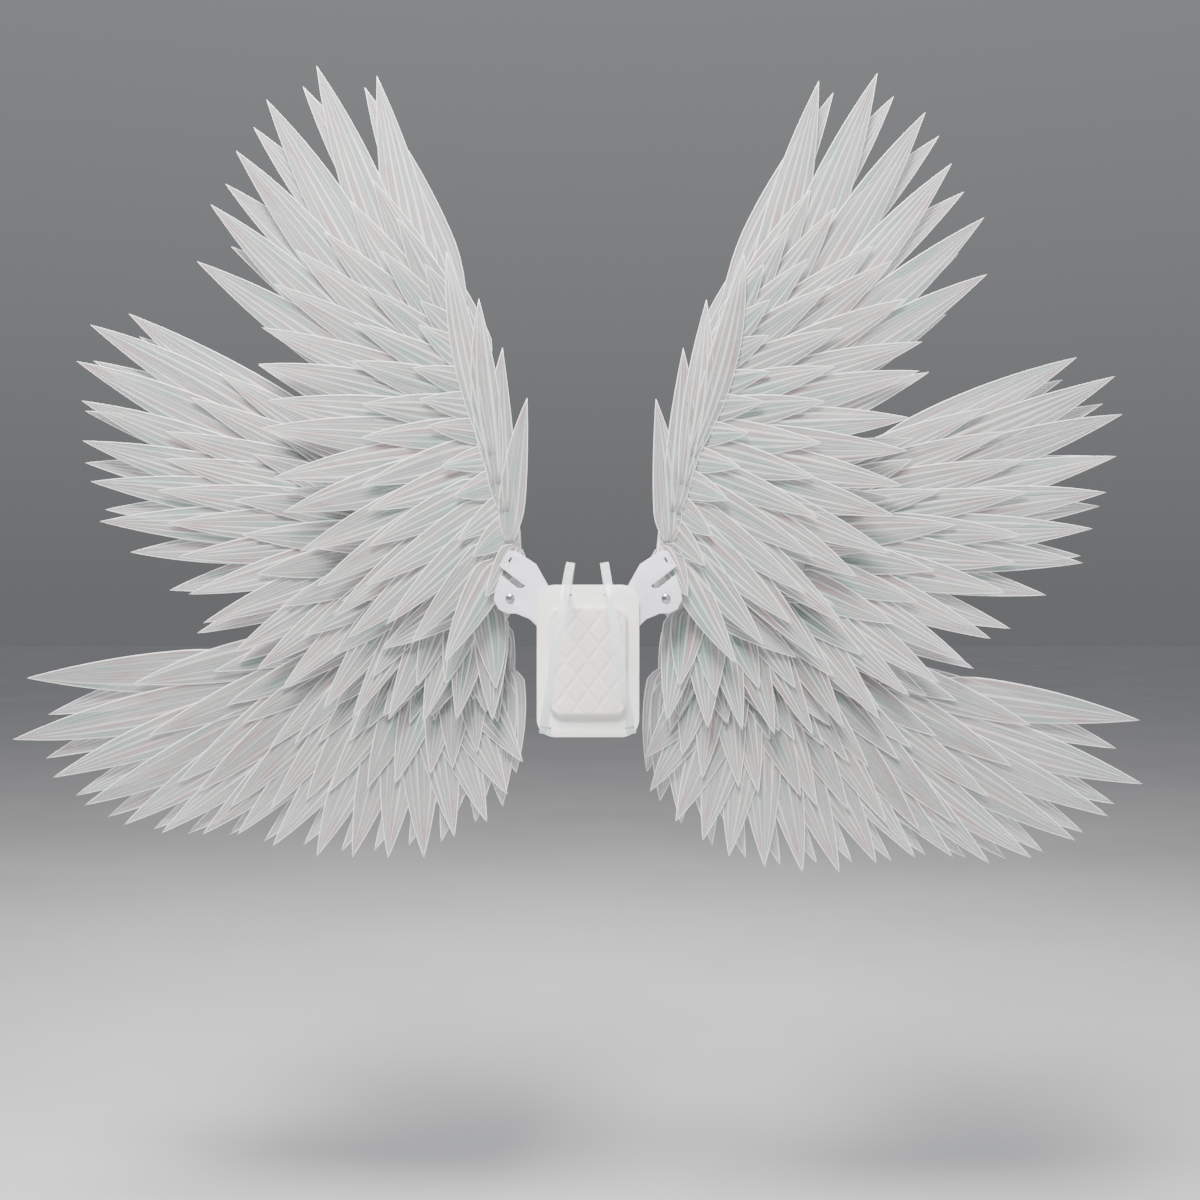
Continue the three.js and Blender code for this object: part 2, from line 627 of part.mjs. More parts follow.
// The keeper: a flat loop that slides along the strap's straight run.
function strapKeeper(side) {
  const { wall, length, room, fromPlate } = KEEPER;
  const [openWidth, openHeight] = [STRAP.width + 2 * room, STRAP.thickness + 2 * room];
  const shape = roundedRectangle(openWidth + 2 * wall, openHeight + 2 * wall, wall);
  shape.holes.push(slotHole(0, 0, openWidth, openHeight, 0));
  const block = extruded(shape, length);
  const mesh = sheet(`${side}_strap_keeper`, block, MATERIALS.strap, -fromPlate - length, -fromPlate);
  mesh.position.z = -strapSlotReach;
  return mesh;
}

// ---------------------------------------------------------------- assembly

// Everything on one side, drawn outwards along x, and mirrored for the right.
function half(side) {
  const group = new THREE.Group();
  group.add(hingeLeaf(side), hingePin(side), ...leafScrews(side));
  group.add(arm(side), hubHardware(side), lockTab(side));
  group.add(...Object.keys(FANS).map((which) => fan(side, which)));
  const strapFrame = new THREE.Group();
  strapFrame.add(strap(side), strapKeeper(side));
  strapFrame.position.x = strapMiddleX;
  strapFrame.rotation.y = -strapLean;
  group.add(strapFrame);
  group.scale.x = side === "left" ? 1 : -1;
  return group;
}

// The bolt, its spacers and its nut, on the hub's axis.
function hubHardware(side) {
  const group = new THREE.Group();
  group.add(hubBolt(side), ...hubSpacers(side), wingNut(side));
  group.position.set(HUB.x, 0, HUB.z);
  return group;
}

const wings = new THREE.Group();
wings.add(backPlate(), backPad(), half("left"), half("right"));

export default wings;
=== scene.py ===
"""Looks of wearable fairy wings: fans of pleated feathers on hinged arms, and a clear-strapped harness."""
import json
import logging
import math
import random
from dataclasses import dataclass
from enum import Enum
from typing import Iterable, Sequence

import bmesh
import bpy
import numpy as np
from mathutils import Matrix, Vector

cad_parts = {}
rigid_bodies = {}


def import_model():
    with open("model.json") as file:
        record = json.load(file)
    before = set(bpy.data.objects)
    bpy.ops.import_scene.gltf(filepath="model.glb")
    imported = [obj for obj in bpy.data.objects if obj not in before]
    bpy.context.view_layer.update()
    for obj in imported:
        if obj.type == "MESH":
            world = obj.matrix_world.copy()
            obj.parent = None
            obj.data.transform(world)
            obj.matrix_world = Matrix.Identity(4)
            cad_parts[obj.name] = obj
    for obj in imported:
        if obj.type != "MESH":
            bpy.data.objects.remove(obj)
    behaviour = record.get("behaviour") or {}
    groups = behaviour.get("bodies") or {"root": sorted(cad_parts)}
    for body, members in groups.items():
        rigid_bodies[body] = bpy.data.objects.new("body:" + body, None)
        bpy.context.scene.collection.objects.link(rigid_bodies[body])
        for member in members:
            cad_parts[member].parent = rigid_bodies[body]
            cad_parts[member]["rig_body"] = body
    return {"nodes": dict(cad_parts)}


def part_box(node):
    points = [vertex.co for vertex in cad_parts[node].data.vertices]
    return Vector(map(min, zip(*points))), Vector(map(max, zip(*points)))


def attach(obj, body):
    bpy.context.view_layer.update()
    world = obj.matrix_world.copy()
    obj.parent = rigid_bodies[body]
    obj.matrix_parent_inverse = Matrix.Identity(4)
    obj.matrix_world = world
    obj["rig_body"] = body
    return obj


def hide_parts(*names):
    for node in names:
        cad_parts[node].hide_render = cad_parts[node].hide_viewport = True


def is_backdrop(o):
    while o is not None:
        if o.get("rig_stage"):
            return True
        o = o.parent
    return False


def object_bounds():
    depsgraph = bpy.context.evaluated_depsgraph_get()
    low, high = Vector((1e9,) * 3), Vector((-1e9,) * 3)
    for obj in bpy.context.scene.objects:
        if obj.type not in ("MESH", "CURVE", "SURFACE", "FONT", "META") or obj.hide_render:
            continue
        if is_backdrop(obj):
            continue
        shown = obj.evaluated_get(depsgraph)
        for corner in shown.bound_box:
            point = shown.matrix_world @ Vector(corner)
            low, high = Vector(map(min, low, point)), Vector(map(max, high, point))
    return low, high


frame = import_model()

MM = 0.001
STRAY_SPREAD = 0.45  # how a tip's wander is spread, as a share of its row's stray
BOW_SPREAD = 0.006  # the same for its sideways curve, as a share of its length
LAYER_NARROWING = 0.2  # how much narrower each further layer of a row is
LAYER_RISE = 2.4  # how far each further layer stands off the one under it, in millimetres
SPLINE_STEPS = 24  # between two of a line's points
WELD = 1e-6  # corners nearer than this become one, in metres
FLAT_ANGLE = math.radians(1)  # faces that meet at less are one face
EDGE_ANGLE = math.radians(35)  # faces that meet at more have an edge between them
SHARP_ANGLE = math.radians(40)  # the same, once that edge is rounded
LOG = logging.getLogger("fairy_wings")
Point = tuple[float, float]
Shade = bpy.types.NodeSocket | tuple[float, float, float, float]  # a colour, or a socket that gives one


class Side(Enum):
    """A wearer's side, with the sign of its x."""

    LEFT = 1
    RIGHT = -1

    @property
    def word(self) -> str:
        """The side's name as the nodes spell it."""
        return self.name.lower()


class Facing(Enum):
    """Which way a row of feathers faces, with the sign of y its tips lift towards."""

    WEARER = -1
    BEHIND = 1


# ---------------------------------------------------------------- colours and nodes


def linear(colour: str) -> tuple[float, float, float, float]:
    """Turns an sRGB hex colour to linear light.

    Args:
        colour: six hex digits after a hash.

    Returns:
        Red, green, blue and an alpha of 1.
    """
    parts = [int(colour[i : i + 2], 16) / 255 for i in (1, 3, 5)]
    return (*(c / 12.92 if c <= 0.04045 else ((c + 0.055) / 1.055) ** 2.4 for c in parts), 1.0)


def add_node(tree: bpy.types.NodeTree, kind: str, links: dict | None = None, **settings) -> bpy.types.Node:
    """Adds a shader node with its settings and links.

    Args:
        tree: the tree it goes into.
        kind: the node's type, without "ShaderNode".
        links: input name or index, to an output socket that feeds it or a value it holds.
        settings: attributes set on the node itself.

    Returns:
        The node.
    """
    node = tree.nodes.new("ShaderNode" + kind)
    for name, value in settings.items():
        setattr(node, name, value)
    for name, value in (links or {}).items():
        if isinstance(value, bpy.types.NodeSocket):
            tree.links.new(value, node.inputs[name])
        else:
            node.inputs[name].default_value = value
    return node


def ramp(
    tree: bpy.types.NodeTree, source: bpy.types.NodeSocket, stops: Sequence[tuple[float, str]]
) -> bpy.types.NodeSocket:
    """Colours a number by a ramp.

    Args:
        tree: the tree it goes into.
        source: the number.
        stops: position and hex colour, in order.

    Returns:
        The ramp's colour.
    """
    node = add_node(tree, "ValToRGB", {"Fac": source})
    elements = node.color_ramp.elements
    while len(elements) < len(stops):
        elements.new(0.5)
    for element, (position, colour) in zip(elements, stops):
        element.position = position
        element.color = linear(colour)
    return node.outputs["Color"]


def noise(
    tree: bpy.types.NodeTree, place: bpy.types.NodeSocket, scale: float, detail: float
) -> bpy.types.NodeSocket:
    """Mottles a place with soft noise.

    Args:
        tree: the tree it goes into.
        place: where each point is.
        scale: how closely the mottles stand, per metre.
        detail: how many finer layers ride on it.

    Returns:
        A number from 0 to 1.
    """
    return add_node(tree, "TexNoise", {"Vector": place, "Scale": scale, "Detail": detail}).outputs["Fac"]


def waves(
    tree: bpy.types.NodeTree, place: bpy.types.NodeSocket, step_mm: float, distortion: float, axis: str
) -> bpy.types.NodeSocket:
    """Rules a place with even lines.

    Args:
        tree: the tree it goes into.
        place: where each point is.
        step_mm: from one line to the next.
        distortion: how much the lines wander.
        axis: the axis that they cross.

    Returns:
        A number from 0 to 1.
    """
    bands = {"Vector": place, "Scale": math.pi / (step_mm * MM) / 10, "Distortion": distortion}
    return add_node(tree, "TexWave", bands, bands_direction=axis).outputs["Fac"]


def bumped(
    tree: bpy.types.NodeTree, height: bpy.types.NodeSocket, strength: float, depth_mm: float
) -> bpy.types.NodeSocket:
    """Turns a height to a fine bump.

    Args:
        tree: the tree it goes into.
        height: the height, from 0 to 1.
        strength: how strongly it shows.
        depth_mm: how deep it is.

    Returns:
        The bumped normal.
    """
    return add_node(
        tree, "Bump", {"Height": height, "Strength": strength, "Distance": depth_mm * MM}
    ).outputs["Normal"]


def mixed(
    tree: bpy.types.NodeTree,
    share: float | bpy.types.NodeSocket,
    one: Shade,
    other: Shade,
    way: str = "MIX",
) -> bpy.types.NodeSocket:
    """Mixes two colours.

    Args:
        tree: the tree it goes into.
        share: how much of the second.
        one: the first colour.
        other: the second colour.
        way: how they blend.

    Returns:
        The mixed colour.
    """
    return add_node(
        tree, "MixRGB", {"Fac": share, "Color1": one, "Color2": other}, blend_type=way
    ).outputs["Color"]


def spread(
    tree: bpy.types.NodeTree,
    value: bpy.types.NodeSocket,
    least: float,
    most: float,
    start: float = 0.0,
    end: float = 1.0,
) -> bpy.types.NodeSocket:
    """Maps a number onto another range.

    Args:
        tree: the tree it goes into.
        value: the number.
        least: the smallest result.
        most: the largest result.
        start: the value that becomes the least.
        end: the value that becomes the most.

    Returns:
        The mapped number.
    """
    return add_node(tree, "MapRange", {
        "Value": value, "From Min": start, "From Max": end, "To Min": least, "To Max": most,
    }).outputs["Result"]


def new_material(name: str) -> tuple[bpy.types.Material, bpy.types.NodeTree, bpy.types.Node]:
    """Makes an empty node material.

    Args:
        name: what the finish is.

    Returns:
        The material, its tree and its output node.
    """
    material = bpy.data.materials.new(name)
    material.use_nodes = True
    tree = material.node_tree
    tree.nodes.clear()
    return material, tree, add_node(tree, "OutputMaterial")


# ---------------------------------------------------------------- finishes


@dataclass(frozen=True)
class FeatherCloth:
    """Stiff pleated polyester organza, heat-cut: pearly translucent white, denser on folds and edges, with
    painted shade in the pleat valleys, a painted white highlight on the cut edge and a painted pearly sheen.
    """

    name: str = "pleated_organza"
    white: str = "#F8F8F6"
    # The cool and warm colours are the pale green and rose of the painted pearly sheen.
    cool: str = "#DDF2ED"
    warm: str = "#FCDEE2"
    # The two colours below are painted shade on each pleat's flanks and in its valley, darker than its
    # ridge.
    slope: str = "#C6C8C8"
    valley: str = "#8B8F91"
    dullest: float = 0.86  # how bright the greyest feather is beside the whitest
    # The hem is a real heat-sealed edge, painted pure white as a bright edge highlight.
    hem_mm: float = 2.2  # the heat-sealed edge, drawn wider than real so that it shows
    thread_mm: float = 0.9  # drawn several times as coarse as real organza so that it shows
    solid_hem_share: float = 0.4  # how much of the hem is solid white before it melts into the cloth
    # The streaks below are the painted pearly sheen.
    streak_mm: float = 16.0  # how far apart the pearl's streaks are, across the feather
    streak_stretch: float = 9.0  # how many times as long as wide a streak is
    clear_share: float = 0.6  # light straight through one face, between the threads
    folded_clear_share: float = 0.2  # the same on a fold, where the cloth doubles
    glow_share: float = 0.3  # light that the threads scatter through
    pearl_nm: float = 380.0
    pearl_swing_nm: float = 110.0

    def make(self) -> bpy.types.Material:
        """Builds the cloth's material."""
        material, tree, output = new_material(self.name)
        tone = add_node(tree, "Attribute", attribute_name="tone").outputs["Fac"]
        inwards = add_node(tree, "Attribute", attribute_name="from_edge").outputs["Fac"]
        fold = add_node(tree, "Attribute", attribute_name="fold").outputs["Fac"]
        place = add_node(tree, "UVMap", uv_map="along_feather").outputs["UV"]
        # Painted sheen: the cloth's pearly iridescent reflection is painted into its colour, drifting from
        # rose to pale green in long streaks along the pleats.
        across = 1 / (self.streak_mm * MM)
        streaks = {"Vector": place, "Scale": (across, across / self.streak_stretch, 1.0)}
        along = add_node(tree, "Mapping", streaks).outputs["Vector"]
        streak = noise(tree, mixed(tree, 1.0, along, tone, "ADD"), 1.0, 1.5)
        painted_pearl_sheen = ramp(
            tree, streak, [(0.34, self.warm), (0.46, self.white), (0.54, self.white), (0.66, self.cool)]
        )
        # Painted shade: each pleat's valley and flanks are painted darker than its white ridge, where shade
        # falls between the folds.
        shade = ramp(tree, fold, [(0.15, self.valley), (0.5, self.slope), (0.8, "#FFFFFF")])
        fold_shaded = mixed(tree, 1.0, painted_pearl_sheen, shade, "MULTIPLY")
        # No two feathers catch the light alike.
        pleated = mixed(tree, 1.0, fold_shaded, spread(tree, tone, self.dullest, 1.0), "MULTIPLY")
        # Painted highlight: the heat-sealed cut edge is painted as a solid white line, brighter than the
        # cloth; it is also really more opaque there.
        hem = spread(tree, inwards, 0.0, 1.0, self.hem_mm, self.hem_mm * self.solid_hem_share)
        colour = mixed(tree, hem, pleated, linear("#FFFFFF"))
        # Warp and weft, along and across each feather.
        threads = [waves(tree, place, self.thread_mm, 0.6, axis) for axis in ("X", "Y")]
        weave = add_node(tree, "Math", {0: threads[0], 1: threads[1]}, operation="ADD").outputs["Value"]
        bump = bumped(tree, weave, 0.05, 0.2)
        film = spread(tree, streak, self.pearl_nm - self.pearl_swing_nm, self.pearl_nm + self.pearl_swing_nm)
        surface = add_node(tree, "BsdfPrincipled", {
            "Base Color": colour, "Roughness": 0.34, "Normal": bump, "Sheen Weight": 0.2,
            "Sheen Roughness": 0.35, "Thin Film Thickness": film, "Thin Film IOR": 1.45,
        }).outputs["BSDF"]
        glow = add_node(tree, "BsdfTranslucent", {"Color": colour, "Normal": bump}).outputs["BSDF"]
        cloth = add_node(tree, "MixShader", {"Fac": self.glow_share, 1: surface, 2: glow}).outputs["Shader"]
        through = add_node(tree, "BsdfTransparent").outputs["BSDF"]
        open_share = spread(tree, fold, self.clear_share, self.folded_clear_share, 0.45, 0.9)
        unsealed = add_node(tree, "Math", {0: 1.0, 1: hem}, operation="SUBTRACT").outputs["Value"]
        clear = add_node(tree, "Math", {0: open_share, 1: unsealed}, operation="MULTIPLY").outputs["Value"]
        seen = add_node(tree, "MixShader", {"Fac": clear, 1: cloth, 2: through}).outputs["Shader"]
        tree.links.new(seen, output.inputs["Surface"])
        return material


@dataclass(frozen=True)
class FoamedBoard:
    """Foamed PVC board, knife-cut: a flat chalky white skin with the faintest orange peel."""

    name: str = "foamed_pvc_board"
    colour: str = "#F1F0ED"
    dusty: str = "#E6E4DF"
    peel_mm: float = 1.6

    def make(self) -> bpy.types.Material:
        """Builds the board's material."""
        material, tree, output = new_material(self.name)
        place = add_node(tree, "TexCoord").outputs["Object"]
        cloud = noise(tree, place, 7.0, 5.0)
        colour = ramp(tree, cloud, [(0.3, self.dusty), (0.62, self.colour)])
        peel = noise(tree, place, 1 / (self.peel_mm * MM), 2.0)
        bump = bumped(tree, peel, 0.12, 0.3)
        rough = spread(tree, cloud, 0.45, 0.62)
        shader = add_node(tree, "BsdfPrincipled", {
            "Base Color": colour, "Roughness": rough, "Normal": bump, "IOR": 1.53,
        })
        tree.links.new(shader.outputs["BSDF"], output.inputs["Surface"])
        return material


@dataclass(frozen=True)
class PowderCoat:
    """White polyester powder coat on cut steel plate: bright, slightly cool, with a fine stipple."""

    name: str = "white_powder_coat"
    colour: str = "#E0DBE8"
    rubbed: str = "#CBC6D4"
    stipple_mm: float = 0.9

    def make(self) -> bpy.types.Material:
        """Builds the coat's material."""
        material, tree, output = new_material(self.name)
        place = add_node(tree, "TexCoord").outputs["Object"]
        cloud = noise(tree, place, 14.0, 6.0)
        colour = ramp(tree, cloud, [(0.28, self.rubbed), (0.55, self.colour)])
        bump = bumped(tree, noise(tree, place, 1 / (self.stipple_mm * MM), 1.0), 0.18, 0.2)
        shader = add_node(tree, "BsdfPrincipled", {
            "Base Color": colour, "Roughness": 0.34, "Normal": bump, "IOR": 1.5, "Coat Weight": 0.25,
            "Coat Roughness": 0.22,
        })
        tree.links.new(shader.outputs["BSDF"], output.inputs["Surface"])
        return material


@dataclass(frozen=True)
class ZincSteel:
    """Zinc-plated steel hardware: a soft blue-grey shine with turning lines."""

    name: str = "zinc_plated_steel"
    colour: str = "#C9CBD0"
    dull: str = "#A9ABB0"
    line_mm: float = 0.5

    def make(self) -> bpy.types.Material:
        """Builds the plating's material."""
        material, tree, output = new_material(self.name)
        place = add_node(tree, "TexCoord").outputs["Object"]
        cloud = noise(tree, place, 60.0, 5.0)
        colour = ramp(tree, cloud, [(0.35, self.dull), (0.6, self.colour)])
        bump = bumped(tree, waves(tree, place, self.line_mm, 1.5, "Z"), 0.05, 0.1)
        rough = spread(tree, cloud, 0.2, 0.36)
        shader = add_node(tree, "BsdfPrincipled", {
            "Base Color": colour, "Metallic": 1.0, "Roughness": rough, "Normal": bump,
        })
        tree.links.new(shader.outputs["BSDF"], output.inputs["Surface"])
        return material


@dataclass(frozen=True)
class MouldedNylon:
    """Moulded nylon: waxy and slightly mottled."""

    name: str
    colour: str
    mottle: str

    def make(self) -> bpy.types.Material:
        """Builds the nylon's material."""
        material, tree, output = new_material(self.name)
        place = add_node(tree, "TexCoord").outputs["Object"]
        cloud = noise(tree, place, 90.0, 4.0)
        colour = ramp(tree, cloud, [(0.35, self.mottle), (0.6, self.colour)])
        bump = bumped(tree, cloud, 0.1, 0.2)
        shader = add_node(tree, "BsdfPrincipled", {
            "Base Color": colour, "Roughness": 0.42, "Normal": bump, "IOR": 1.53, "Subsurface Weight": 0.12,
            "Subsurface Scale": 0.002,
        })
        tree.links.new(shader.outputs["BSDF"], output.inputs["Surface"])
        return material


@dataclass(frozen=True)
class ClearTPU:
    """Clear extruded TPU strap: see-through and glossy, with a faint milky body and draw lines."""

    name: str = "clear_tpu"
    colour: str = "#F2F7F8"
    line_mm: float = 2.0
    clear_share: float = 0.7

    def make(self) -> bpy.types.Material:
        """Builds the strap's material."""
        material, tree, output = new_material(self.name)
        place = add_node(tree, "TexCoord").outputs["Object"]
        bump = bumped(tree, waves(tree, place, self.line_mm, 0.8, "X"), 0.06, 0.2)
        gloss = add_node(tree, "BsdfPrincipled", {
            "Base Color": linear(self.colour), "Roughness": 0.12, "Normal": bump, "IOR": 1.48,
        }).outputs["BSDF"]
        clear = add_node(tree, "BsdfTransparent", {"Color": linear(self.colour)}).outputs["BSDF"]
        seen = add_node(tree, "MixShader", {"Fac": self.clear_share, 1: gloss, 2: clear}).outputs["Shader"]
        tree.links.new(seen, output.inputs["Surface"])
        return material


@dataclass(frozen=True)
class KnitCover:
    """Brushed polyester tricot over foam: soft off-white with fine vertical wales, painted darker in the
    grooves between them as shade.
    """

    name: str = "tricot_cover"
    colour: str = "#EFECE8"
    deep: str = "#D9D5D0"
    wale_mm: float = 1.4  # drawn about twice as coarse as real tricot so that it shows

    def make(self) -> bpy.types.Material:
        """Builds the cover's material."""
        material, tree, output = new_material(self.name)
        place = add_node(tree, "TexCoord").outputs["Object"]
        wales, courses = (waves(tree, place, self.wale_mm, 0.4, axis) for axis in ("X", "Z"))
        knit = add_node(tree, "Math", {0: wales, 1: courses}, operation="MULTIPLY").outputs["Value"]
        # Painted shade: the knit's low grooves, where its bump sinks, are painted darker.
        colour = ramp(tree, knit, [(0.0, self.deep), (0.5, self.colour)])
        bump = bumped(tree, knit, 0.35, 0.5)
        shader = add_node(tree, "BsdfPrincipled", {
            "Base Color": colour, "Roughness": 0.85, "Normal": bump,
            "Sheen Weight": 0.5, "Sheen Roughness": 0.5,
        })
        tree.links.new(shader.outputs["BSDF"], output.inputs["Surface"])
        return material


class Finishes:
    """Every finish of the wings, each made once."""

    def __init__(self) -> None:
        """Makes the materials."""
        self.feather = FeatherCloth().make()
        self.rear_feather = FeatherCloth(
            name="pleated_organza_rear", white="#F6F1F2", warm="#F4E6EA", valley="#B4B0B2"
        ).make()
        self.board = FoamedBoard().make()
        self.plate = PowderCoat().make()
        self.steel = ZincSteel().make()
        self.nylon = MouldedNylon("natural_nylon", "#F0EEE6", "#E4E1D6").make()
        self.lock = MouldedNylon("dark_grey_nylon", "#4B4A4E", "#3C3B3F").make()
        self.strap = ClearTPU().make()
        self.cover = KnitCover().make()


# ---------------------------------------------------------------- meshes


def mesh_piece(
    name: str,
    vertices: np.ndarray,
    faces: Sequence[Sequence[int]],
    material: bpy.types.Material,
    smooth: bool = False,
) -> bpy.types.Object:
    """Makes one mesh object and links it to the scene.

    Args:
        name: the piece's name.
        vertices: an array of points in metres.
        faces: corner numbers of each face.
        material: its finish.
        smooth: whether its faces are shaded smooth.

    Returns:
        The object.
    """
    mesh = bpy.data.meshes.new(name)
    mesh.from_pydata([tuple(v) for v in vertices], [], [tuple(f) for f in faces])
    mesh.materials.append(material)
    mesh.polygons.foreach_set("use_smooth", [smooth] * len(mesh.polygons))
    mesh.update()
    piece = bpy.data.objects.new(name, mesh)
    bpy.context.scene.collection.objects.link(piece)
    return piece


def point_attribute(piece: bpy.types.Object, name: str, values: np.ndarray) -> None:
    """Stores one number per vertex.

    Args:
        piece: the mesh object.
        name: the attribute's name.
        values: one number per vertex.
    """
    attribute = piece.data.attributes.new(name, "FLOAT", "POINT")
    attribute.data.foreach_set("value", values.astype(np.float32))


def softened(
    node: str, name: str, material: bpy.types.Material, width_mm: float, segments: int = 3
) -> bpy.types.Object:
    """Copies a CAD node's shape with its sharp edges rounded, as a piece that stands for it.

    Args:
        node: the CAD node.
        name: the piece's name.
        material: its finish.
        width_mm: how wide the rounding is.
        segments: how many steps it takes.

    Returns:
        The piece, riding on the node's body.
    """
    source = frame["nodes"][node]
    mesh = source.data.copy()
    mesh.name = name
    mesh.materials.clear()
    mesh.materials.append(material)
    work = bmesh.new()
    work.from_mesh(mesh)
    bmesh.ops.remove_doubles(work, verts=work.verts, dist=WELD)
    bmesh.ops.dissolve_limit(work, angle_limit=FLAT_ANGLE, verts=work.verts, edges=work.edges)
    sharp = [e for e in work.edges if len(e.link_faces) == 2 and e.calc_face_angle(0) > EDGE_ANGLE]
    bmesh.ops.bevel(
        work, geom=sharp, offset=width_mm * MM, segments=segments, affect="EDGES", clamp_overlap=True,
        profile=0.5,
    )
    work.to_mesh(mesh)
    work.free()
    piece = bpy.data.objects.new(name, mesh)
    bpy.context.scene.collection.objects.link(piece)
    for polygon in mesh.polygons:
        polygon.use_smooth = True
    mesh.set_sharp_from_angle(angle=SHARP_ANGLE)
    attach(piece, source["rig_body"])
    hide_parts(node)
    return piece


def spun(
    name: str, profile: Sequence[Point], centre: Vector, material: bpy.types.Material, sides: int = 48
) -> bpy.types.Object:
    """Turns a closed profile round the y axis.

    Args:
        name: the piece's name.
        profile: radius and y of each corner, in millimetres, round the section.
        centre: a point on the axis; its y isn't used.
        material: its finish.
        sides: steps round the axis.

    Returns:
        The object.
    """
    angles = [2 * math.pi * i / sides for i in range(sides)]
    vertices = [
        (centre.x + r * MM * math.cos(a), y * MM, centre.z + r * MM * math.sin(a))
        for r, y in profile
        for a in angles
    ]
    faces = []
    for i in range(len(profile)):
        j = (i + 1) % len(profile)
        for k in range(sides):
            m = (k + 1) % sides
            faces.append((i * sides + k, i * sides + m, j * sides + m, j * sides + k))
    piece = mesh_piece(name, np.array(vertices), faces, material, smooth=True)
    work = bmesh.new()
    work.from_mesh(piece.data)
    bmesh.ops.remove_doubles(work, verts=work.verts, dist=WELD)
    bmesh.ops.dissolve_degenerate(work, dist=1e-7, edges=work.edges)
    bmesh.ops.recalc_face_normals(work, faces=work.faces)
    work.to_mesh(piece.data)
    work.free()
    piece.data.set_sharp_from_angle(angle=EDGE_ANGLE)
    return piece


# ---------------------------------------------------------------- feathers


def spline(points: Sequence[Point], shares: np.ndarray) -> np.ndarray:
    """Walks a smooth line through points.

    Args:
        points: the points the line passes through.
        shares: how far along the line's length, each from 0 to 1.

    Returns:
        One point per share.
    """
    p = np.array(points, float)
    p = np.vstack([2 * p[0] - p[1], p, 2 * p[-1] - p[-2]])
    line = []
    for i in range(1, len(p) - 2):
        t = np.linspace(0, 1, SPLINE_STEPS, endpoint=i == len(p) - 3)[:, None]
        line.append(0.5 * (
            2 * p[i] + (p[i + 1] - p[i - 1]) * t + (2 * p[i - 1] - 5 * p[i] + 4 * p[i + 1] - p[i + 2]) * t**2
            + (3 * p[i] - p[i - 1] - 3 * p[i + 1] + p[i + 2]) * t**3
        ))
    line = np.vstack(line)
    walked = np.concatenate([[0], np.cumsum(np.linalg.norm(np.diff(line, axis=0), axis=1))])
    return np.column_stack([np.interp(np.asarray(shares) * walked[-1], walked, line[:, k]) for k in (0, 1)])


